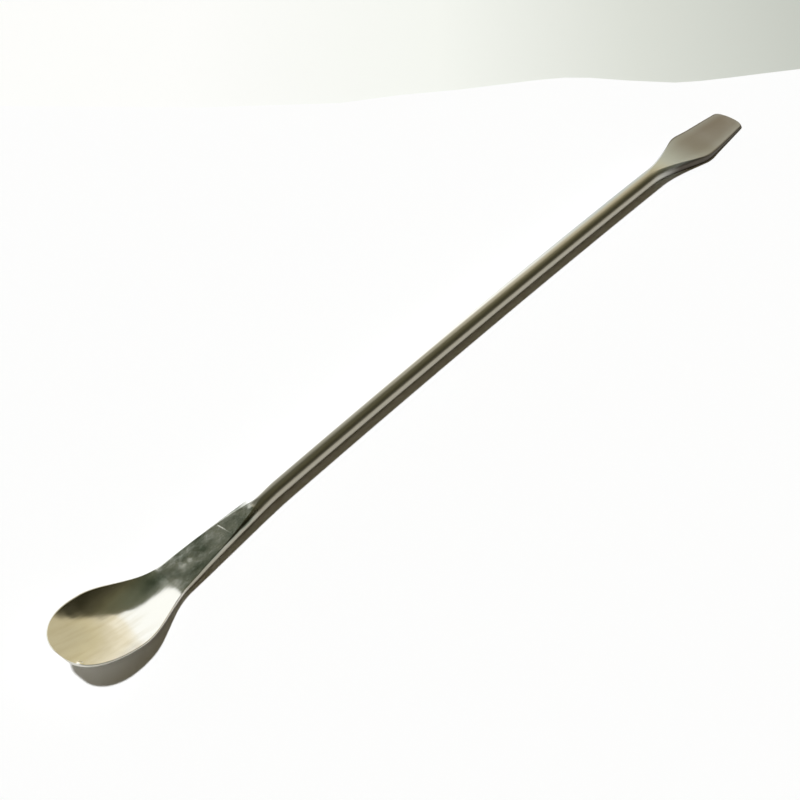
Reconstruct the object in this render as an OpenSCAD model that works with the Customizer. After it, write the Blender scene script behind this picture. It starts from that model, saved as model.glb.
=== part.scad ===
// Double-ended laboratory spatula, forged from one round stainless rod.
// A spoon bowl with a flat neck is at one end and a small flat blade is at the other.
// Millimetres, +X from the bowl to the blade, +Z up, the tool lying as it rests on a bench.

/* [Overall] */
// Length from the tip of the bowl to the end of the blade
total_l = 240; // [220:1:265]

/* [Shank] */
// Diameter of the round rod
shank_d = 4; // [3.4:0.1:5]
// Sideways bow of the rod at its middle
shank_bow = 0.6; // [0.3:0.1:3]
// Gap between the rod and the bench
shank_gap = 0.1; // [0.06:0.01:0.4]

/* [Bowl] */
// Length of the bowl, from its tip to the neck
bowl_l = 32; // [28:0.5:38]
// Greatest width of the bowl
bowl_w = 17.5; // [15:0.1:21]
// Distance from the tip to the widest place
bowl_widest = 13.7; // [11:0.1:17]
// Squareness of the tip's outline, where 2 is an ellipse
tip_squareness = 2.45; // [2:0.05:3]
// Depth of the hollow below the rim
bowl_depth = 3.3; // [2.6:0.1:4]
// Distance from the tip to the deepest place
dish_deepest = 12.5; // [9:0.5:16]
// Distance that the hollow ends short of the neck
dish_short = 1.5; // [0.5:0.5:6]
// Share by which the hollow is deeper towards its far side
dish_lean = 0.2; // [0:0.05:0.3]
// Thickness of the bowl's wall
bowl_wall = 0.8; // [0.6:0.05:1.2]
// Rise of the rim from the neck to the tip
tip_rise = 5.5; // [4:0.1:7]
// Roll of the bowl and the neck about their own length
bowl_roll = 10; // [0:0.5:12]

/* [Neck] */
// Width of the neck where it meets the bowl
neck_w = 8; // [7:0.1:11]
// Thickness of the flattened neck
neck_t = 1.3; // [1:0.05:1.7]
// Gap between the neck and the bench
neck_gap = 0.65; // [0.4:0.05:1]
// Length of the flat on the neck, from the bowl to the round rod
neck_l = 26; // [21:0.5:34]
// Distance before the neck at which the metal starts to thicken towards the rod
thin_lead = 5; // [1:0.5:8]

/* [Blade] */
// Length of the flat blade, from its end to its shoulders
blade_l = 18.5; // [15:0.5:24]
// Width across the shoulders
shoulder_w = 11.8; // [9.5:0.1:15]
// Width at the end
end_w = 8.2; // [6.5:0.1:10]
// Thickness at the shoulders
shoulder_t = 1.2; // [0.9:0.05:1.6]
// Thickness at the end
end_t = 0.5; // [0.4:0.05:0.8]
// Length of the rounded end
end_round = 2; // [1:0.1:3]
// Squareness of the end's outline, where 2 is an ellipse
end_squareness = 2.6; // [2:0.1:4]
// Length from the shoulders to the round rod
flare_l = 18; // [14:0.5:24]

/* [Hidden] */

shank_r = shank_d/2;
axis_z = shank_r + shank_gap;

// How far in from the edge the rounded sides start, on the rim, the neck and the blade
rim_in = 0.45;
neck_in = 0.5;
blade_in = 0.35;
// A side's full curve is this much taller than the metal left between the flats
side_bulge = 1.12;
// The flats cut the side's curve no higher than this share of its height
side_cut = 0.998;

// Length over which the neck runs out into the rod past the flat's start
neck_out_l = 5.5;
// Softness of that run-out, and of the bends between two flats
neck_ease = 0.15;
flat_ease = 0.3;
// Length over which the roll fades out before the rod
roll_l = 6;
// The neck's underside stays up near the bowl and comes down late, which clears its rolled edge
under_late = 3;
// How the hollow runs out towards the neck, where 1 is a straight ramp and 2 a round one, and
// how softly it ends there
dish_fall = 1.8;
dish_out = 1.15;
// Length of the tip over which the wall thins to a rounded edge, and the first station in it
tip_round = 0.6;
tip_first = 0.04;
// The part of the bowl that moves down as a whole to seat it, and what of the neck follows
seat_share = 0.75;
seat_l = 4;

// Swell of the blade's sides, and their slope past the shoulders
edge_curve = 0.9;
shoulder_slope = -0.28;
// Softness of the shoulders' corners, seen from above
shoulder_ease = 0.8;
// Distance before the shoulders at which the blade's top starts to rise
rise_before = 3;
// The sole lies on the bench over this length, cut flat from a slightly thicker blade
sole_l = 22;
sole_cut = 0.2;
blade_first = 0.02;

// The forged ends stand this far over the rod at a joint, then dive this deep into it
weld_out = 0.04;
weld_in = 0.4;
weld_l = 1;

// Stations along each end, their crowding towards the tip, and segments around a section
spoon_n = 60;
spoon_crowd = 1.3;
blade_n = 34;
blade_crowd = 1.4;
flat_n = 8;
side_n = 10;
shank_fn = 48;
arc_n = 24;
slope_step = 0.1;
box_over = 1;

neck_top = neck_gap + neck_t;
facet_u = bowl_l + neck_l;
thin_u = bowl_l - thin_lead;
dish_end = bowl_l - dish_short;
spoon_l = facet_u + neck_out_l;
blade_all = blade_l + flare_l;
crown_z = 2*shank_r + shank_gap;

function smooth(t) = let (c = min(1, max(0, t))) c*c*(3 - 2*c);
function mix(a, b, t) = a + (b - a)*t;
function soft_max(a, b, k) = max(a, b) + pow(max(0, k - abs(a - b)), 2)/(4*k);
function eased(t, k) = (sqrt(t*t + k*k) - k)/(sqrt(1 + k*k) - k);
function squircle(t, n) = pow(1 - pow(1 - t, n), 1/n);
// Cubic from a to b over a length l, with slopes ma and mb, at the share t of the way
function cubic(a, b, ma, mb, t, l) =
    a*(2*t*t*t - 3*t*t + 1) + ma*l*(t*t*t - 2*t*t + t)
    + b*(3*t*t - 2*t*t*t) + mb*l*(t*t*t - t*t);

// One section: half width a, a side curve of ea by eb, cut flat at the heights z and -z
function section(a, ea, eb, z) =
    let (cut = asin(z/eb), flat = a - ea + ea*cos(cut))
    let (half = concat(
        [for (i = [0:flat_n - 1]) [flat*(1 - 2*i/flat_n), z]],
        [for (i = [0:side_n - 1]) let (w = cut*(1 - 2*i/side_n))
            [-(a - ea + ea*cos(w)), eb*sin(w)]]))
    concat(half, -half);

// Skins a list of closed rings into one solid
module skin(rings) {
    n = len(rings[0]);
    last = len(rings) - 1;
    sides = [for (i = [0:last - 1], j = [0:n - 1]) let (k = (j + 1)%n)
        each [[i*n + j, (i + 1)*n + k, i*n + k], [i*n + j, (i + 1)*n + j, (i + 1)*n + k]]];
    ends = [[for (j = [0:n - 1]) j], [for (j = [n - 1:-1:0]) last*n + j]];
    polyhedron(points = [for (r = rings, p = r) p], faces = concat(sides, ends), convexity = 6);
}

// Plain round ring at x, standing out from the rod or sunk into it
function round_ring(x, out) = let (r = shank_r + out)
    [for (p = section(r, r, r, r*side_cut)) [x, p.x, axis_z + p.y]];

// Spoon end: u runs from the tip of the bowl towards the rod
function neck_half(u) =
    mix(shank_r, neck_w/2, eased(max(0, spoon_l - u)/(spoon_l - bowl_l), neck_ease));
neck_slope = (neck_half(bowl_l + slope_step) - neck_half(bowl_l))/slope_step;
function spoon_half(u) =
    u < bowl_widest ? bowl_w/2*squircle(u/bowl_widest, tip_squareness)
    : u < bowl_l ? cubic(bowl_w/2, neck_w/2, 0, neck_slope,
        (u - bowl_widest)/(bowl_l - bowl_widest), bowl_l - bowl_widest)
    : neck_half(u);
// Heights over the bench: the rim, then the flat that rises to the rod's top, and the underside
function spoon_rim(u) = neck_top + tip_rise*smooth(1 - u/bowl_l);
function spoon_top(u) =
    let (rise = crown_z - neck_top)
    spoon_rim(u) + min(rise, soft_max(0, rise*(u - thin_u)/(facet_u - thin_u), flat_ease));
function spoon_under(u) =
    u < bowl_l ? spoon_rim(u) - wall(u)
    : mix(neck_gap, shank_gap, pow(smooth((u - bowl_l)/neck_l), under_late));
function to_neck(u) = smooth((u - bowl_widest)/(bowl_l - bowl_widest));
function wall(u) = let (e = max(0, 1 - u/tip_round))
    mix(bowl_wall, neck_t, to_neck(u))*sqrt(1 - e*e);
// Depth of the hollow at the share s of the half width
function dish(u, s) =
    let (back = max(0, u - dish_deepest)/(dish_end - dish_deepest))
    let (front = max(0, dish_deepest - u)/dish_deepest)
    let (along = (1 - front*front)*pow(1 - pow(min(1, back), dish_fall), dish_out))
    bowl_depth*along*max(0, 1 - s*s)*(1 + dish_lean*s);
function seat(u) = smooth((1 - u/(bowl_l + seat_l))/(1 - seat_share));

function spoon_ring(u, drop) =
    let (a = spoon_half(u), k = smooth((u - bowl_l)/neck_l))
    let (under = spoon_under(u), half = (spoon_top(u) - under)/2)
    let (ea = min(a, mix(mix(rim_in, neck_in, to_neck(u)), a, k)))
    let (eb = mix(half*side_bulge, shank_r, k), roll = bowl_roll*smooth((spoon_l - u)/roll_l))
    [for (p = section(a, ea, eb, min(half, eb*side_cut))) let (z = p.y - dish(u, p.x/a))
        [u, p.x*cos(roll) - z*sin(roll), under + half - drop*seat(u) + p.x*sin(roll) + z*cos(roll)]];

spoon_us = [for (i = [0:spoon_n]) mix(tip_first, spoon_l - weld_l, pow(i/spoon_n, spoon_crowd))];
// Height of the bowl's lowest place before it is seated on the bench
heel = min([for (u = spoon_us) if (u < bowl_l) for (p = spoon_ring(u, 0)) p.z]);
spoon_rings = concat([for (u = spoon_us) spoon_ring(u, heel)],
    [round_ring(spoon_l - weld_l/2, weld_out), round_ring(spoon_l + weld_l, weld_out),
     round_ring(spoon_l + 3*weld_l, -weld_in)]);

// Blade end: v runs from the end of the blade towards the rod, and x the other way
function blade_side(v) =
    let (edge = mix(end_w/2, shoulder_w/2, pow(v/blade_l, edge_curve)))
    let (flare = v < blade_l ? shoulder_w/2 + shoulder_slope*(v - blade_l)
        : cubic(shoulder_w/2, shank_r, shoulder_slope, 0, (v - blade_l)/flare_l, flare_l))
    -soft_max(-edge, -flare, shoulder_ease);
function blade_ring(v) =
    let (a = blade_side(v)*(v < end_round ? squircle(v/end_round, end_squareness) : 1))
    let (k = smooth((v - blade_l)/flare_l), rise_v = blade_l - rise_before)
    let (ramp = mix(shoulder_t, crown_z, (v - rise_v)/(blade_all - rise_v)))
    let (top = min(crown_z, soft_max(mix(end_t, shoulder_t, v/blade_l), ramp, flat_ease)))
    let (under = mix(-sole_cut, shank_gap, smooth((v - sole_l)/(blade_all - sole_l))))
    let (half = (top - under)/2, eb = mix(half*side_bulge, shank_r, k))
    [for (p = section(a, min(a, mix(blade_in, a, k)), eb, min(half, eb*side_cut)))
        [blade_all - v, p.x, under + half + p.y]];
blade_rings = concat(
    [round_ring(-3*weld_l, -weld_in), round_ring(-weld_l, weld_out), round_ring(weld_l/2, weld_out)],
    [for (i = [0:blade_n])
        blade_ring(mix(blade_first, blade_all - weld_l, pow(1 - i/blade_n, blade_crowd)))]);

// The rod is an arc between the two joints, and the ends leave it along its tangents
half_chord = (total_l - spoon_l - blade_all)/2;
arc_r = (half_chord*half_chord + shank_bow*shank_bow)/(2*shank_bow);
arc_a = asin(half_chord/arc_r);

function turned(p, a) = [p.x*cos(a) - p.y*sin(a), p.x*sin(a) + p.y*cos(a)];
// Outline points seen from above, which centre the tool on its origin
plan = concat(
    [for (r = spoon_rings, p = r) turned([p.x - spoon_l, p.y], arc_a) - [half_chord, 0]],
    [for (r = blade_rings, p = r) turned(p, -arc_a) + [half_chord, 0]]);
xs = [for (p = plan) p.x];
ys = [for (p = plan) p.y];
centre = [min(xs) + max(xs), min(ys) + max(ys)]/2;
// The bench's height, which is the sole's unless a rolled neck's edge reaches lower
bench_z = min(0, min([for (r = spoon_rings, p = r) p.z]));

module shank() {
    translate([0, shank_bow - arc_r, axis_z])
        rotate(90 - arc_a)
            rotate_extrude(angle = 2*arc_a, $fn = ceil(arc_n*180/arc_a))
                translate([arc_r, 0]) circle(shank_r, $fn = shank_fn);
}

module spoon_end() {
    translate([-half_chord, 0, 0]) rotate(arc_a) translate([-spoon_l, 0, 0]) skin(spoon_rings);
}

module blade_end() {
    translate([half_chord, 0, 0]) rotate(-arc_a) difference() {
        skin(blade_rings);
        translate([0, -shoulder_w, -box_over]) cube([blade_all + box_over, 2*shoulder_w, box_over]);
    }
}

module spatula() {
    color([0.62, 0.6, 0.54]) translate([-centre.x, -centre.y, -bench_z]) {
        shank();
        spoon_end();
        blade_end();
    }
}

spatula();
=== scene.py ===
import math
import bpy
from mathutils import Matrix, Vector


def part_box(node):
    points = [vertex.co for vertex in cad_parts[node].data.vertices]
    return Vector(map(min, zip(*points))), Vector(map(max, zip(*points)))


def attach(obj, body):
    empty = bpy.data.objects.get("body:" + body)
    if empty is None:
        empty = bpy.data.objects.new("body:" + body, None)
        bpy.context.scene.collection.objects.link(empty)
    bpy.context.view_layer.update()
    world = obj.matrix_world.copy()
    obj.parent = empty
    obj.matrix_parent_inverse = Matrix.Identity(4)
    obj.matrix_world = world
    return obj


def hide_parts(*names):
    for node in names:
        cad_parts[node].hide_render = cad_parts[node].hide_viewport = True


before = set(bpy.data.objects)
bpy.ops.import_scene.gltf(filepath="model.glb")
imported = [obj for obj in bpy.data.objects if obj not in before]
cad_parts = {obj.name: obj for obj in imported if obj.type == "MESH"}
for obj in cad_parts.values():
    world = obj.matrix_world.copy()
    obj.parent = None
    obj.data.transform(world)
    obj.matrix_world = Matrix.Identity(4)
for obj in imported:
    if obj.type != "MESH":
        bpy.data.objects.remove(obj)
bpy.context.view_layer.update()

from types import SimpleNamespace

import bpy
from mathutils import Matrix, Vector

MM = 0.001
# Keeps a length that is divided by off zero
TINY = 1e-7

# ---------------------------------------------------------------- sizes, in millimetres
# Those of the rod, bowl, neck and blade are the same as the solid's, so that the dressed piece lies
# in the solid's place.
SIZES = {
    # The rod
    "Length": 240.0, "Rod diameter": 4.0, "Rod bow": 0.6, "Rod gap": 0.1,
    # The bowl
    "Bowl length": 32.0, "Bowl width": 17.5, "Bowl widest": 13.7, "Bowl depth": 3.3,
    "Dish deepest": 12.5, "Dish short": 1.5, "Bowl wall": 0.8, "Tip rise": 5.5,
    "Tip rounding": 0.6, "Rim rounding": 0.45, "Seat length": 4.0,
    # The neck
    "Neck width": 8.0, "Neck thickness": 1.3, "Neck gap": 0.65, "Neck length": 26.0,
    "Neck run-out": 5.5, "Thin lead": 5.0, "Neck rounding": 0.5, "Roll length": 6.0,
    # The blade
    "Blade length": 18.5, "Shoulder width": 11.8, "End width": 8.2, "Shoulder thickness": 1.2,
    "End thickness": 0.5, "End round": 2.0, "Flare length": 18.0, "Blade rounding": 0.35,
    "Rise before": 3.0, "Sole length": 22.0, "Sole cut": 0.2, "Shoulder ease": 0.8,
    # The bends between two flats
    "Flat ease": 0.3,
    # Too fine for the solid: the unevenness of hammered metal, and two small burrs
    "Hammering": 0.12, "Burr size": 0.9,
    "Neck burr place": 55.2, "Neck burr side": -0.4, "Neck burr height": 0.12,
    "Rim burr place": 1.5, "Rim burr side": -4.1, "Rim burr height": 0.192,
}
# Shares, slopes and powers, and the angle of the roll
RATIOS = {
    "Tip squareness": 2.45, "End squareness": 2.6, "Side bulge": 1.12, "Side cut": 0.998,
    "Neck ease": 0.15, "Seat share": 0.75, "Edge curve": 0.9, "Shoulder slope": -0.28,
    "Bowl roll": math.radians(10.0), "Dish fall": 1.8, "Dish out": 1.15, "Dish lean": 0.2,
    "Under late": 3.0,
}
# Length of one swell of the hammered metal
HAMMER_SWELL = 4.5
# Points of the tube that lie closer than this become one
MERGE = 0.0005
# Rings along each stretch of the tool, and points around each ring
RINGS = {"tip": 84, "bowl": 104, "neck": 136, "rod": 60, "blade": 96, "end": 26}
AROUND = 180
# Share of those points on the flats, where the section is flat and where it is round
FLAT_SHARE, ROUND_SHARE = 0.58, 0.12

# Where the finishes begin along the tool, from the bowl's tip, and where they are full
BOWL_FADE, NECK_FADE, BLADE_FADE = (33, 29), (57, 53), (200, 213)
# The same across the flats for the finish of their edges, as a share of the half width
EDGE_FADE, RIM_FADE = (0.86, 0.96), (0.94, 0.98)
# Small marks on the upper face: distance from the tip, place across, radius
PALE_SPOTS = [(36.9, 0.2, 1.6), (34.9, 0.6, 2.4)]
# A painted glint on the bowl's rim: distance from the tip, place across, radius
PAINTED_RIM_GLINT = (1.5, -4.0, 1.1)
# A shallow scratch crosses the neck's face. It slants a little and wanders with the polish
SCRATCH = {"place": 47.35, "width": 0.26, "slant": 0.15, "wander": 0.25,
           "-Y end": (-2.3, 1.2), "+Y end": (2.6, 1.4)}
# Roughness of a clear polish, what the drawn rod adds to it, and of the duller places
ROUGHNESS = {"polish": 0.11, "rod": 0.17, "blade": 0.42, "rim": 0.4, "pale spots": 0.32,
             "scratch": 0.42}


# ---------------------------------------------------------------- nodes and their arithmetic
def add(tree, kind, inputs=None, **settings):
    """Adds one node with its settings, its values and its links, and returns it."""
    node = tree.nodes.new(kind)
    for name, value in settings.items():
        setattr(node, name, value)
    for key, value in (inputs or {}).items():
        socket = node.inputs[key]
        if isinstance(value, bpy.types.NodeSocket):
            tree.links.new(value, socket)
        else:
            socket.default_value = value
    return node


class Field:
    """A number that varies over the mesh or the room. Its arithmetic becomes Math nodes."""
    # The tree that the nodes go into
    tree = None

    def __init__(self, socket):
        self.socket = socket

    @staticmethod
    def calc(operation, *terms):
        """The result of one operation on fields and plain numbers."""
        values = {i: t.socket if isinstance(t, Field) else float(t) for i, t in enumerate(terms)}
        return Field(add(Field.tree, "ShaderNodeMath", values, operation=operation).outputs[0])

    def __add__(self, other):
        return Field.calc("ADD", self, other)

    def __radd__(self, other):
        return Field.calc("ADD", other, self)

    def __sub__(self, other):
        return Field.calc("SUBTRACT", self, other)

    def __rsub__(self, other):
        return Field.calc("SUBTRACT", other, self)

    def __mul__(self, other):
        return Field.calc("MULTIPLY", self, other)

    def __rmul__(self, other):
        return Field.calc("MULTIPLY", other, self)

    def __truediv__(self, other):
        return Field.calc("DIVIDE", self, other)

    def __rtruediv__(self, other):
        return Field.calc("DIVIDE", other, self)

    def __pow__(self, other):
        return Field.calc("POWER", self, other)

    def __neg__(self):
        return Field.calc("MULTIPLY", self, -1)


def low(a, b):
    return Field.calc("MINIMUM", a, b)


def high(a, b):
    return Field.calc("MAXIMUM", a, b)


def sine(angle):
    return Field.calc("SINE", angle)


def cosine(angle):
    return Field.calc("COSINE", angle)


def root(square):
    return Field.calc("SQRT", square)


def share(t):
    """t held between 0 and 1."""
    return low(high(t, 0), 1)


def mix(a, b, t):
    """a where t is 0, b where it is 1."""
    return a + (b - a)*t


def pick(test, yes, no):
    """yes where test is above zero, else no."""
    return mix(no, yes, Field.calc("GREATER_THAN", test, 0))


def smooth(t):
    """0 to 1 with soft ends."""
    c = share(t)
    return c*c*(3 - 2*c)


def fade(value, start, end):
    """0 up to the start and 1 from the end on, with soft ends. The end may be the lower one."""
    return smooth((value - start)/(end - start))


def soft_max(a, b, ease):
    """The higher of two, with the bend between them rounded."""
    near = high(ease - Field.calc("ABSOLUTE", a - b), 0)
    return high(a, b) + near*near/(4*ease)


def eased(t, ease):
    """A straight rise from 0 to 1 that starts softly."""
    return (root(t*t + ease*ease) - ease)/(root(1 + ease*ease) - ease)


def squircle(t, squareness):
    """The half width of a rounded end, from 0 at its tip to 1."""
    return (1 - high(1 - share(t), 0)**squareness)**(1/squareness)


def cubic(a, b, slope_a, slope_b, t, length):
    """Cubic from a to b over a length, with the two end slopes."""
    c = share(t)
    c2 = c*c
    c3 = c2*c
    return (a*(2*c3 - 3*c2 + 1) + slope_a*length*(c3 - 2*c2 + c)
            + b*(3*c2 - 2*c3) + slope_b*length*(c3 - c2))


def per_mm(size):
    """Texture scale that gives features of about this many millimetres."""
    return 1/(size*MM)


# ---------------------------------------------------------------- the tool's form
def tool_sizes(given):
    """The tree's inputs, and the lengths that follow from them."""
    size = {name: Field(given.outputs[name]) for name in list(SIZES) + list(RATIOS)}
    size["Rod radius"] = size["Rod diameter"]/2
    size["Crown"] = size["Rod diameter"] + size["Rod gap"]
    size["Flat end"] = size["Bowl length"] + size["Neck length"]
    size["Spoon length"] = size["Flat end"] + size["Neck run-out"]
    size["Blade reach"] = size["Blade length"] + size["Flare length"]
    bow = size["Rod bow"]
    half_chord = (size["Length"] - size["Spoon length"] - size["Blade reach"])/2
    size["Arc radius"] = (half_chord*half_chord + bow*bow)/(2*bow)
    size["Arc angle"] = Field.calc("ARCSINE", half_chord/size["Arc radius"])
    size["Arc length"] = 2*size["Arc angle"]*size["Arc radius"]
    return size


def distances(size, at):
    """How far each ring lies from the bowl's tip, and how far from the blade's end."""
    widest, bowl_l, spoon_l = size["Bowl widest"], size["Bowl length"], size["Spoon length"]
    tip_turn = high(cosine(at["tip"]*math.pi/2), 0)**(2/size["Tip squareness"])
    end_turn = high(cosine((1 - at["end"])*math.pi/2), 0)**(2/size["End squareness"])
    from_tip = (widest*(1 - tip_turn) + (bowl_l - widest)*at["bowl"]
                + (spoon_l - bowl_l)*at["neck"] + size["Arc length"]*at["rod"])
    from_end = ((size["Blade reach"] - size["End round"])*(1 - at["blade"])
                + size["End round"]*(1 - end_turn))
    return from_tip, from_end


def spoon_section(size, from_tip):
    """The section of the bowl and the neck at a distance from the tip."""
    bowl_l, widest = size["Bowl length"], size["Bowl widest"]
    spoon_l, crown = size["Spoon length"], size["Crown"]

    def neck_half(place):
        return mix(size["Rod radius"], size["Neck width"]/2,
                   eased(high(spoon_l - place, 0)/(spoon_l - bowl_l), size["Neck ease"]))

    step = 0.1*MM
    neck_slope = (neck_half(bowl_l + step) - neck_half(bowl_l))/step
    to_neck = fade(from_tip, widest, bowl_l)
    roundness = smooth((from_tip - bowl_l)/size["Neck length"])
    in_bowl = bowl_l - from_tip
    widening = size["Bowl width"]/2*squircle(from_tip/widest, size["Tip squareness"])
    narrowing = cubic(size["Bowl width"]/2, size["Neck width"]/2, 0, neck_slope,
                      (from_tip - widest)/(bowl_l - widest), bowl_l - widest)
    half_width = pick(widest - from_tip, widening, pick(in_bowl, narrowing, neck_half(from_tip)))

    neck_top = size["Neck gap"] + size["Neck thickness"]
    rim = neck_top + pick(in_bowl, size["Tip rise"]*smooth(1 - from_tip/bowl_l), 0)
    thin = bowl_l - size["Thin lead"]
    rising = (crown - neck_top)*(from_tip - thin)/(size["Flat end"] - thin)
    top = rim + low(crown - neck_top, soft_max(0, rising, size["Flat ease"]))
    blunt = high(1 - from_tip/size["Tip rounding"], 0)
    wall = mix(size["Bowl wall"], size["Neck thickness"], to_neck)*root(high(1 - blunt*blunt, 0))
    neck_under = mix(size["Neck gap"], size["Rod gap"], roundness**size["Under late"])
    under = pick(in_bowl, rim - wall, neck_under)
    half_height = (top - under)/2
    rounding = mix(size["Rim rounding"], size["Neck rounding"], to_neck)
    return {"half width": half_width, "half height": half_height, "underside": under,
            "side rounding": low(half_width, mix(rounding, half_width, roundness)),
            "side height": mix(half_height*size["Side bulge"], size["Rod radius"], roundness),
            "roundness": roundness}


def blade_section(size, from_end):
    """The section of the blade and its flare at a distance from the end."""
    blade_l, flare_l, reach = size["Blade length"], size["Flare length"], size["Blade reach"]
    shoulder, slope = size["Shoulder width"]/2, size["Shoulder slope"]
    side_edge = mix(size["End width"]/2, shoulder, (from_end/blade_l)**size["Edge curve"])
    flare = pick(blade_l - from_end, shoulder + slope*(from_end - blade_l),
                 cubic(shoulder, size["Rod radius"], slope, 0, (from_end - blade_l)/flare_l, flare_l))
    corner = squircle(from_end/size["End round"], size["End squareness"])
    half_width = (-soft_max(-side_edge, -flare, size["Shoulder ease"])
                  * pick(size["End round"] - from_end, corner, 1))
    roundness = smooth((from_end - blade_l)/flare_l)

    thick, thin, crown = size["Shoulder thickness"], size["End thickness"], size["Crown"]
    rise_from = blade_l - size["Rise before"]
    ramp = thick + (crown - thick)*(from_end - rise_from)/(reach - rise_from)
    face = thin + (thick - thin)*from_end/blade_l
    top = low(crown, soft_max(face, ramp, size["Flat ease"]))
    under = mix(-size["Sole cut"], size["Rod gap"], fade(from_end, size["Sole length"], reach))
    half_height = (top - under)/2
    return {"half width": half_width, "half height": half_height, "underside": under,
            "side rounding": low(half_width, mix(size["Blade rounding"], half_width, roundness)),
            "side height": mix(half_height*size["Side bulge"], size["Rod radius"], roundness),
            "roundness": roundness}


def on_section(size, section, point):
    """Where a ring's point lies on its section: how far across, and how far above its middle.

    Half a turn draws one flat and the side after it, and the other half is its mirror."""
    half_width, rounding = section["half width"], section["side rounding"]
    side_height = section["side height"]
    steep = section["half height"]/high(side_height, TINY)
    cut = Field.calc("ARCSINE", low(high(steep, 0), size["Side cut"]))
    flat_half = half_width - rounding + rounding*cosine(cut)
    half_turn = Field.calc("MODULO", point, AROUND/2)/(AROUND/2)
    second_half = Field.calc("GREATER_THAN", Field.calc("MODULO", point, AROUND), AROUND/2 - 0.5)
    mirror = 1 - 2*second_half
    flat_share = mix(FLAT_SHARE, ROUND_SHARE, section["roundness"])
    over_flat = share(half_turn/flat_share)
    down_side = share((half_turn - flat_share)/(1 - flat_share))
    side_angle = cut*(1 - 2*down_side)
    side = half_width - rounding + rounding*cosine(side_angle)
    across = mirror*(flat_half*cosine(over_flat*math.pi) + flat_half - side)
    return across, mirror*side_height*sine(side_angle)


def hollow(size, from_tip, side_share):
    """Depth of the bowl's hollow, which is a little deeper on one side."""
    deepest = size["Dish deepest"]
    back = high(from_tip - deepest, 0)/(size["Bowl length"] - size["Dish short"] - deepest)
    front = high(deepest - from_tip, 0)/deepest
    bowed = size["Bowl depth"]*high(1 - side_share*side_share, 0)*(1 + side_share*size["Dish lean"])
    run_out = high(1 - low(back, 1)**size["Dish fall"], 0)**size["Dish out"]
    return bowed*(1 - front*front)*run_out


def burr(size, name, from_tip, across):
    """Height of one small burr."""
    off_along, off_across = from_tip - size[name + " place"], across - size[name + " side"]
    off = root(off_along*off_along + off_across*off_across)
    return size[name + " height"]*smooth(1 - off/size["Burr size"])


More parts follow.
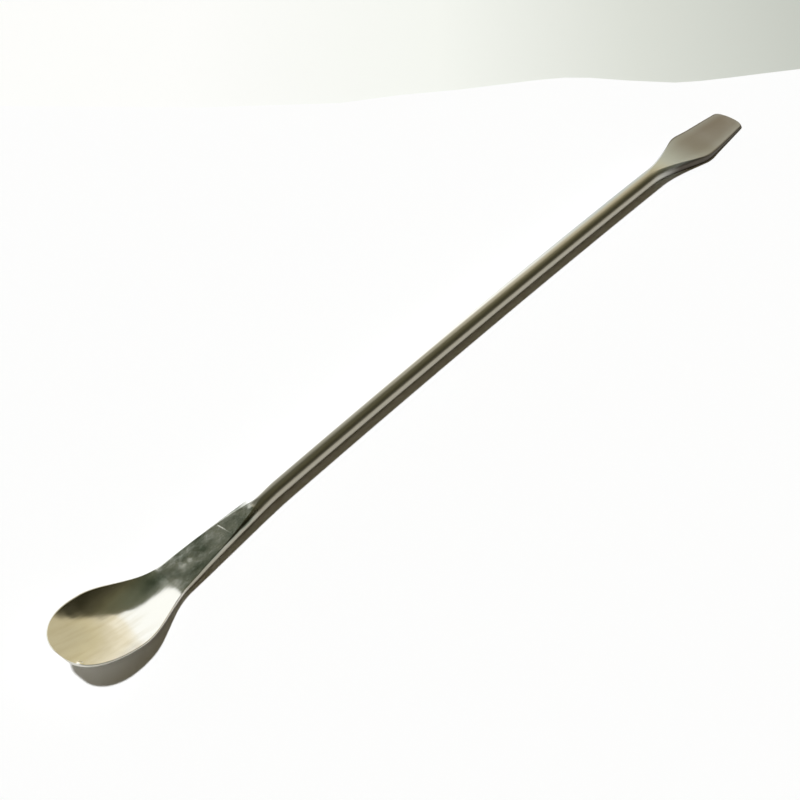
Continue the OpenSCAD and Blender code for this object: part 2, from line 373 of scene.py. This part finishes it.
def forged_tree(material):
    """Geometry Nodes that draw one closed tube of rings out to the tool's sections."""
    tree = bpy.data.node_groups.new("forged_spatula", "GeometryNodeTree")
    for name in list(SIZES) + list(RATIOS):
        tree.interface.new_socket(name, in_out="INPUT", socket_type="NodeSocketFloat")
    tree.interface.new_socket("Geometry", in_out="OUTPUT", socket_type="NodeSocketGeometry")
    Field.tree = tree
    size = tool_sizes(add(tree, "NodeGroupInput"))

    # A plain tube gives the rings: its height counts them, its angle goes round each one
    rings = sum(RINGS.values())
    tube = add(tree, "GeometryNodeMeshCylinder", {
        "Vertices": AROUND, "Side Segments": rings, "Radius": 1.0, "Depth": 1.0}, fill_type="NONE")
    place = add(tree, "ShaderNodeSeparateXYZ",
                {0: add(tree, "GeometryNodeInputPosition").outputs[0]})
    x, y, z = (Field(place.outputs[i]) for i in range(3))
    ring = Field.calc("ROUND", (z + 0.5)*rings)
    point = Field.calc("ROUND", Field.calc("ARCTAN2", y, x)/math.tau*AROUND + AROUND)

    # How far along each stretch a ring lies, from 0 to 1
    at, count = {}, 0
    for name, number in RINGS.items():
        at[name] = share((ring - count)/number)
        count += number
    on_blade = at["blade"]
    from_tip, from_end = distances(size, at)
    spoon, blade = spoon_section(size, from_tip), blade_section(size, from_end)
    section = {name: pick(on_blade, blade[name], spoon[name]) for name in spoon}
    across, level = on_section(size, section, point)
    side_share = across/high(section["half width"], TINY)

    # The hollow, the burrs, and the slight unevenness that hammering leaves in the flattened metal
    along = pick(on_blade, size["Length"] - from_end, from_tip)
    worked = add(tree, "ShaderNodeCombineXYZ", {0: along.socket, 1: across.socket, 2: level.socket})
    swells = add(tree, "ShaderNodeTexNoise", {
        "Vector": worked.outputs[0], "Scale": per_mm(HAMMER_SWELL), "Detail": 1.0, "Roughness": 0.4},
        noise_dimensions="3D")
    uneven = (Field(swells.outputs[0]) - 0.5)*size["Hammering"]*(1 - section["roundness"])
    burrs = burr(size, "Neck burr", from_tip, across) + burr(size, "Rim burr", from_tip, across)
    depth = pick(on_blade, 0, hollow(size, from_tip, side_share))
    level = level - depth + uneven + pick(on_blade, 0, pick(level, burrs, 0))

    # The bowl's roll, and its seat on the bench
    bowl_l, spoon_l = size["Bowl length"], size["Spoon length"]
    roll = pick(on_blade, 0, size["Bowl roll"]*smooth((spoon_l - from_tip)/size["Roll length"]))
    out_y = across*cosine(roll) - level*sine(roll)
    raised = (section["underside"] + section["half height"]
              + across*sine(roll) + level*cosine(roll))
    heel = Field(add(tree, "GeometryNodeAttributeStatistic", {
        0: tube.outputs["Mesh"], 1: Field.calc("GREATER_THAN", bowl_l - from_tip, 0).socket,
        2: raised.socket}).outputs["Min"])
    seat = heel*smooth((1 - from_tip/(bowl_l + size["Seat length"]))/(1 - size["Seat share"]))
    out_z = pick(on_blade, high(raised, 0), raised - seat)

    # The line that the rings follow: straight, round the rod's arc, straight
    arc_r = size["Arc radius"]
    angle = size["Arc angle"]*(1 - 2*at["rod"])
    spare = low(from_tip - spoon_l, 0) + pick(on_blade, size["Blade reach"] - from_end, 0)
    line_x = -arc_r*sine(angle) + spare*cosine(angle)
    line_y = arc_r*cosine(angle) - arc_r + size["Rod bow"] + spare*sine(angle)
    spot = add(tree, "ShaderNodeCombineXYZ", {
        0: (line_x - out_y*sine(angle)).socket, 1: (line_y + out_y*cosine(angle)).socket,
        2: out_z.socket})

    # What the finish follows: the distance from the tip, the two ways across, and the edges
    laid = add(tree, "GeometryNodeStoreNamedAttribute", {
        "Geometry": tube.outputs["Mesh"], "Name": "lay", "Value": worked.outputs[0]},
        data_type="FLOAT_VECTOR", domain="POINT")
    marked = add(tree, "GeometryNodeStoreNamedAttribute", {
        "Geometry": laid.outputs[0], "Name": "edge",
        "Value": Field.calc("ABSOLUTE", side_share).socket},
        data_type="FLOAT", domain="POINT")
    shaped = add(tree, "GeometryNodeSetPosition",
                 {"Geometry": marked.outputs[0], "Position": spot.outputs[0]})
    closed = add(tree, "GeometryNodeMergeByDistance",
                 {"Geometry": shaped.outputs[0], "Distance": MERGE*MM})
    even = add(tree, "GeometryNodeSetShadeSmooth", {"Geometry": closed.outputs[0]})
    real = add(tree, "GeometryNodeRealizeInstances", {"Geometry": even.outputs[0]})
    dressed = add(tree, "GeometryNodeSetMaterial", {"Geometry": real.outputs[0], "Material": material})
    add(tree, "NodeGroupOutput", {0: dressed.outputs[0]})
    return tree


def set_in_place(mesh, node):
    """Moves the mesh over its solid's box, and holds each of its points inside that box."""
    solid_low, solid_high = (Vector(corner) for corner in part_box(node))
    points = [vertex.co for vertex in mesh.vertices]
    mesh_low = Vector([min(p[i] for p in points) for i in range(3)])
    mesh_high = Vector([max(p[i] for p in points) for i in range(3)])
    shift = (solid_low + solid_high - mesh_low - mesh_high)/2
    shift.z = solid_low.z - mesh_low.z
    mesh.transform(Matrix.Translation(shift))
    for vertex in mesh.vertices:
        for i in range(3):
            vertex.co[i] = min(max(vertex.co[i], solid_low[i]), solid_high[i])


def forge(material):
    """The tool as one plain mesh, set in its solid's place."""
    blank = bpy.data.objects.new("forging_blank", bpy.data.meshes.new("forging_blank"))
    bpy.context.scene.collection.objects.link(blank)
    forging = blank.modifiers.new("forging", "NODES")
    forging.node_group = forged_tree(material)
    for item in forging.node_group.interface.items_tree:
        if item.in_out == "INPUT":
            forging[item.identifier] = SIZES[item.name]*MM if item.name in SIZES else RATIOS[item.name]
    bpy.context.view_layer.update()
    ready = blank.evaluated_get(bpy.context.evaluated_depsgraph_get())
    mesh = bpy.data.meshes.new_from_object(ready)
    mesh.name = "steel_spatula"
    bpy.data.objects.remove(blank)
    set_in_place(mesh, "spatula")
    tool = bpy.data.objects.new("steel_spatula", mesh)
    bpy.context.scene.collection.objects.link(tool)
    return tool


# ---------------------------------------------------------------- finishes
def hex_colour(text):
    """sRGB hex to linear colour."""
    parts = [int(text[i:i + 2], 16)/255 for i in (1, 3, 5)]
    return [c/12.92 if c <= 0.04045 else ((c + 0.055)/1.055)**2.4 for c in parts] + [1.0]


def ramp_stops(node, stops):
    """Sets a colour ramp's stops, and returns its colour."""
    ramp = node.color_ramp
    while len(ramp.elements) < len(stops):
        ramp.elements.new(0.5)
    for element, (place, colour) in zip(ramp.elements, stops):
        element.position = place
        element.color = hex_colour(colour)
    return node.outputs[0]


def new_material(name):
    """An empty material and its node tree."""
    material = bpy.data.materials.new(name)
    material.use_nodes = True
    material.node_tree.nodes.clear()
    return material, material.node_tree


def steel_places(tree):
    """Where each finish lies on the tool, in millimetres from the tip and across."""
    lay = add(tree, "ShaderNodeAttribute", attribute_name="lay").outputs["Vector"]
    spread = add(tree, "ShaderNodeSeparateXYZ", {0: lay})
    along, across, level = (Field(spread.outputs[i])/MM for i in range(3))
    # From 0 in the middle to 1 at both sides
    edge = Field(add(tree, "ShaderNodeAttribute", attribute_name="edge").outputs["Fac"])
    bowl = fade(along, *BOWL_FADE)
    neck = fade(along, *NECK_FADE) - bowl
    blade = fade(along, *BLADE_FADE)
    # The neck's two edges are polished like the rod
    neck_face = neck*(1 - fade(edge, *EDGE_FADE))
    # The neck's cloudy patches and its painted dim reflection reach into the bowl on one side
    cloudy = neck_face + bowl*fade(along, 19, 31)*fade(across, -1, 2)
    return SimpleNamespace(
        lay=lay, along=along, across=across, edge=edge, upper=fade(level, 0, 0.2),
        bowl=bowl, neck=neck, blade=blade, rod=1 - bowl - neck_face - blade, cloudy=cloudy)


def steel_marks(tree, at):
    """The patterns and the single marks in the steel, each from 0 to 1."""
    def grain(length, width, detail=2.0, seed=0.0):
        """Noise drawn out along the tool, with its features' two sizes in millimetres."""
        stretch = add(tree, "ShaderNodeMapping", {
            "Vector": at.lay, "Location": (seed, 0, 0),
            "Scale": (per_mm(length), per_mm(width), per_mm(width))})
        return Field(add(tree, "ShaderNodeTexNoise", {
            "Vector": stretch.outputs[0], "Scale": 1.0, "Detail": detail, "Roughness": 0.55}).outputs[0])

    def near(place, side, radius):
        """1 at a place on the upper face, falling to 0 at the radius."""
        off_along, off_across = at.along - place, at.across - side
        return smooth(1 - root(off_along*off_along + off_across*off_across)/radius)*at.upper

    # Drawing and polishing lines are about 0.05 mm wide in the metal. They are drawn 0.3 mm wide,
    # which is as fine as the view shows
    drawn = grain(22, 0.3)
    streaks = grain(9, 0.55, 3.0, 3.0)
    wiped = grain(11, 1.4, 3.0, 27.0)
    # Hammer marks, 1 to 3 mm across
    clouds = grain(2.6, 2.2, 3.0, 7.0)
    specks = grain(0.8, 0.8, 2.0, 11.0)
    # Grinding lines and slow changes of tone on the blade, and slow changes of tone on the neck
    ground = grain(6, 0.4, 3.0, 15.0)
    stain = grain(14, 8, 0.0, 19.0)
    tint = grain(7, 3.5, 1.0, 23.0)
    pale = low(high(*[near(*spot) for spot in PALE_SPOTS])*0.8*(0.5 + specks), 1)
    off_line = Field.calc("ABSOLUTE", at.along - SCRATCH["place"] + at.across*SCRATCH["slant"]
                          + (streaks - 0.5)*SCRATCH["wander"])
    scratch = (fade(off_line, SCRATCH["width"], 0)*fade(at.across, *SCRATCH["-Y end"])
               * fade(at.across, *SCRATCH["+Y end"])*at.upper*at.neck)
    return SimpleNamespace(
        drawn=drawn, streaks=streaks, wiped=wiped, clouds=clouds, specks=specks, ground=ground,
        stain=stain, tint=tint, pale=pale, painted_rim_glint=near(*PAINTED_RIM_GLINT), scratch=scratch,
        patches=fade(clouds, 0.25, 0.75))


def steel_roughness(at, marks):
    """Even on the rod, clear in the bowl, cloudy on the neck and dull on the blade."""
    rough = (ROUGHNESS["polish"] + 0.03*marks.drawn + at.bowl*0.05*marks.streaks
             + at.rod*ROUGHNESS["rod"])
    rough = rough + at.cloudy*(0.02 + 0.10*marks.patches*marks.specks)
    rough = mix(rough, ROUGHNESS["blade"] + 0.10*marks.ground, at.blade)
    worn_rim = at.bowl*fade(at.edge, *RIM_FADE)
    rough = high(rough, worn_rim*ROUGHNESS["rim"])
    return high(rough, high(marks.pale*ROUGHNESS["pale spots"], marks.scratch*ROUGHNESS["scratch"]))


def steel_colour(tree, at, marks):
    """The steel's colour. Each blend lays its second colour over its first by a share."""
    to_blade = fade(at.along, 110, 190)
    to_spoon = fade(at.along, 190, 60)
    side_start = 0.1 - 0.25*to_blade
    dull = (0.85 + 0.15*fade(marks.stain, 0.3, 0.7))*fade(at.along, 208, 226)
    blends = [
        ("bowl", "#D2D0C7", "#B3AB90", fade(at.along, 24, 18)*fade(marks.wiped, 0.4, 0.75)*0.28),
        # The rod carries painted shade along its near (-Y) back and a painted pale reflection along its
        # far (+Y) side, more so at the spoon's end
        ("painted pale far side", "#DCDCD8", "#ABB2B3", to_blade),
        ("side", "painted pale far side", "#FAFAF6", to_spoon),
        ("back", "#A19C8B", "#6C6858", to_spoon*fade(at.across, -1.3, -0.4)),
        ("rod", "back", "side", fade(at.across, side_start, side_start + 0.75)),
        ("polished", "bowl", "rod", at.rod*(0.8 + 0.2*marks.drawn)),
        # The blade is ground dull, and its two edges carry painted shade
        ("face", "#B2B7B3", "#797267", dull*(1 - 0.3*fade(at.edge, 0.4, 1))),
        ("blade", "face", "#58534A", fade(at.edge, *EDGE_FADE)*fade(at.along, 201, 213)),
        ("bare", "polished", "blade", at.blade),
        # The neck is cloudy from hammering, and its greenish grey is partly a painted dim reflection of
        # the room
        ("cloudy with painted reflection", "bare", "#6A7162",
         low(at.cloudy*(0.25 + 0.45*marks.patches + 0.5*fade(marks.tint, 0.3, 0.7)), 1)),
        # Pale spots and the scratch, and the painted glint on the bowl's rim
        ("marked", "cloudy with painted reflection", "#E6E4DC",
         high(high(marks.pale*0.45, marks.scratch*0.45), marks.painted_rim_glint*0.9)),
    ]
    colours = {}
    for name, under, over, part in blends:
        below, above = (colours[c] if c in colours else hex_colour(c) for c in (under, over))
        colours[name] = add(tree, "ShaderNodeMix", {
            0: part.socket, 6: below, 7: above}, data_type="RGBA").outputs[2]
    return colours["marked"]


def stainless_steel():
    """Austenitic stainless steel, drawn to a rod, forged flat at both ends and hand polished.

    It gives the eye a warm grey mirror: soft and drawn lengthwise on the rod, with painted shade along
    its near side and a painted pale reflection along its far side, clear with fine streaks in the bowl
    and a painted glint on its rim, greenish and cloudy on the flat neck, where the green is partly a
    painted dim reflection, and a dull ground face on the blade, whose edges carry painted shade."""
    material, tree = new_material("stainless_steel_polished")
    Field.tree = tree
    at = steel_places(tree)
    marks = steel_marks(tree, at)
    # Heights in hundredths of a millimetre
    relief = (marks.drawn*0.5*at.rod + marks.streaks*at.bowl
              + at.cloudy*(marks.clouds*5.0 + marks.specks*0.6)
              + marks.ground*at.blade - marks.scratch)
    surface = add(tree, "ShaderNodeBump", {
        "Strength": 1.0, "Distance": 0.01*MM, "Height": relief.socket})
    skin = add(tree, "ShaderNodeBsdfPrincipled", {
        "Base Color": steel_colour(tree, at, marks), "Metallic": 1.0,
        "Roughness": steel_roughness(at, marks).socket, "Normal": surface.outputs[0]})
    add(tree, "ShaderNodeOutputMaterial", {0: skin.outputs[0]})
    return material


def paper(name, colour):
    """Uncoated card. It gives the eye a flat tone without any shine."""
    material, tree = new_material(name)
    skin = add(tree, "ShaderNodeBsdfPrincipled", {
        "Base Color": hex_colour(colour), "Roughness": 0.9, "Specular IOR Level": 0.2})
    add(tree, "ShaderNodeOutputMaterial", {0: skin.outputs[0]})
    return material


def bench_top():
    """White melamine board. It gives the eye a smooth pale top, with painted shade that greys it away
    from the window.
    """
    material, tree = new_material("white_melamine")
    Field.tree = tree
    place = add(tree, "ShaderNodeSeparateXYZ",
                {0: add(tree, "ShaderNodeTexCoord").outputs["Object"]})
    # The painted shade greys it along a line that is turned from +X, from a start and over a length
    turn, start, length = math.radians(-50.6), -70*MM, 200*MM
    away = Field(place.outputs[0])*math.cos(turn) + Field(place.outputs[1])*math.sin(turn)
    tone = ramp_stops(add(tree, "ShaderNodeValToRGB", {0: ((away - start)/length).socket}), [
        (0.0, "#FCFCFA"), (0.35, "#F4F6F0"), (0.62, "#DADDD5"), (1.0, "#B6BAB2")])
    skin = add(tree, "ShaderNodeBsdfPrincipled", {
        "Base Color": tone, "Roughness": 0.6, "Specular IOR Level": 0.2})
    add(tree, "ShaderNodeOutputMaterial", {0: skin.outputs[0]})
    return material


# ---------------------------------------------------------------- the piece
piece = forge(stainless_steel())
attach(piece, "root")
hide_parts("spatula")

# ---------------------------------------------------------------- camera, 469 mm off
FOCUS, DISTANCE = Vector((-16.70, -0.75, 0))*MM, 468.73*MM
AZIMUTH, ELEVATION = math.radians(-50.641), math.radians(43.362)
LENS, SENSOR = 94.5, 36
gaze = Vector((-math.sin(AZIMUTH)*math.cos(ELEVATION), math.cos(AZIMUTH)*math.cos(ELEVATION),
               -math.sin(ELEVATION)))
camera = bpy.data.objects.new("camera", bpy.data.cameras.new("camera"))
camera.data.lens, camera.data.sensor_width = LENS, SENSOR
camera.data.clip_start, camera.data.clip_end = 0.01, 50
camera.location = FOCUS - gaze*DISTANCE
camera.rotation_euler = (math.pi/2 - ELEVATION, 0, AZIMUTH)
bpy.context.scene.collection.objects.link(camera)
bpy.context.scene.camera = camera

# ---------------------------------------------------------------- bench and sheet, in millimetres
BENCH_REACH, BENCH_LEVEL = 4000, -0.8
SHEET_LEFT, SHEET_RIGHT, SHEET_NEAR, SHEET_FAR, SHEET_LEVEL = -700, 600, -700, 700, -0.02
# The frame is this many pixels wide and high. The sheet's far edge waves a little across it, and
# these are places on that edge, from left to right, in pixels from the frame's upper left corner
FRAME_PIXELS = 800
FAR_EDGE = [(-22, 105.8), (200, 107.5), (340, 103), (400, 95), (460, 89.5), (500, 84.5), (540, 79.7),
            (565, 77.6), (590, 77.8), (630, 80.6), (675, 82.6), (700, 81), (730, 77.6), (770, 72.6),
            (800, 69)]
# Where the edge leaves the sheet's left and right sides, far outside the frame
EDGE_LEFT, EDGE_RIGHT = (-420, SHEET_FAR), (SHEET_RIGHT, -470)


def under_pixel(x, y):
    """The place on the sheet, in millimetres, that the camera sees at a place in its frame."""
    rightward = gaze.cross(Vector((0, 0, 1))).normalized()
    upward = rightward.cross(gaze)
    focal = LENS/SENSOR*FRAME_PIXELS
    ray = gaze + rightward*((x - FRAME_PIXELS/2)/focal) + upward*((FRAME_PIXELS/2 - y)/focal)
    spot = camera.location + ray*((SHEET_LEVEL*MM - camera.location.z)/ray.z)
    return spot.x/MM, spot.y/MM


def sheet(name, corners, height, material):
    """A flat sheet at a height, from its corners."""
    mesh = bpy.data.meshes.new(name)
    mesh.from_pydata([(x*MM, y*MM, height*MM) for x, y in corners], [], [range(len(corners))])
    mesh.materials.append(material)
    flat = bpy.data.objects.new(name, mesh)
    bpy.context.scene.collection.objects.link(flat)
    return flat


sheet("bench", [(-BENCH_REACH, -BENCH_REACH), (BENCH_REACH, -BENCH_REACH),
                (BENCH_REACH, BENCH_REACH), (-BENCH_REACH, BENCH_REACH)], BENCH_LEVEL, bench_top())
far_edge = [EDGE_LEFT] + [under_pixel(*place) for place in FAR_EDGE] + [EDGE_RIGHT]
sheet("white_sheet", far_edge[::-1] + [(SHEET_LEFT, SHEET_FAR), (SHEET_LEFT, SHEET_NEAR),
                                       (SHEET_RIGHT, SHEET_NEAR)],
      SHEET_LEVEL, paper("white_paper", "#FCFCFC"))

# ---------------------------------------------------------------- light
# One lamp stands for the window. Its width is the angle over which it is seen, in degrees
KEY_FROM, KEY_STRENGTH, KEY_WIDTH = Vector((-0.315, 0.392, 1.0)), 3.41, 5
key = bpy.data.lights.new("key", "SUN")
key.energy = KEY_STRENGTH
key.color = hex_colour("#FAFCFF")[:3]
key.angle = math.radians(KEY_WIDTH)
lamp = bpy.data.objects.new("key", key)
lamp.rotation_euler = KEY_FROM.to_track_quat("Z", "Y").to_euler()
bpy.context.scene.collection.objects.link(lamp)


def room_tone(tree):
    """The room's colour in each direction: a white wall behind the tool, a warm curtain at its
    right-hand end, and a dim ceiling that comes down low on the near side."""
    look = add(tree, "ShaderNodeSeparateXYZ",
               {0: add(tree, "ShaderNodeTexCoord").outputs["Generated"]})
    right, far, up = (Field(look.outputs[i]) for i in range(3))
    # The wall ends along a line that slants, then steepens, then stands still, with a soft edge
    slanting, steeper, still, softness = up*0.68 - 0.655, up*2.5 - 1.875, 0.275, 0.07
    past_line = far - low(high(slanting, steeper), still)
    wall_share = fade(past_line, -softness/2, softness/2)
    wall = ramp_stops(add(tree, "ShaderNodeValToRGB", {0: right.socket}), [
        (0.57, "#FAFCFF"), (0.64, "#EAE2CE"), (0.71, "#D1C8B0"), (0.8, "#C6BC9C"), (0.9, "#B9B094")])
    ceiling = ramp_stops(add(tree, "ShaderNodeValToRGB", {0: up.socket}), [
        (0.4, "#2A281B"), (0.6, "#474434"), (0.75, "#5A5843"), (0.9, "#5C5F4E"), (1.0, "#5E6352")])
    above = add(tree, "ShaderNodeMix", {
        0: wall_share.socket, 6: ceiling, 7: wall}, data_type="RGBA")
    # Low down, bench fronts stand all round
    fronts_share = fade(up, 0.12, 0.07)*(1 - wall_share)*0.6
    room = add(tree, "ShaderNodeMix", {
        0: fronts_share.socket, 6: above.outputs[2], 7: hex_colour("#B2AC9A")}, data_type="RGBA")
    return room.outputs[2]


def studio_world():
    """What the camera and the metal see of the room, and the dim light that the bench gets."""
    world = bpy.data.worlds.new("studio")
    world.use_nodes = True
    tree = world.node_tree
    tree.nodes.clear()
    Field.tree = tree
    # The bench gets only the room's dim light, so that the tool keeps its shadow
    dim = add(tree, "ShaderNodeBackground", {0: hex_colour("#504833"), 1: 1.0})
    rays = add(tree, "ShaderNodeLightPath")
    # The camera sees white at a strength of 1, and metal mirrors the room brighter by this share
    mirror_gain = 0.6
    mirrored = Field(rays.outputs["Is Glossy Ray"])
    seen = add(tree, "ShaderNodeBackground",
               {0: room_tone(tree), 1: (1 + mirror_gain*mirrored).socket})
    shown = high(high(Field(rays.outputs["Is Camera Ray"]), mirrored),
                 Field(rays.outputs["Is Transmission Ray"]))
    sky = add(tree, "ShaderNodeMixShader", {0: shown.socket, 1: dim.outputs[0], 2: seen.outputs[0]})
    add(tree, "ShaderNodeOutputWorld", {0: sky.outputs[0]})
    bpy.context.scene.world = world


studio_world()
bpy.context.scene.view_settings.view_transform = "Standard"
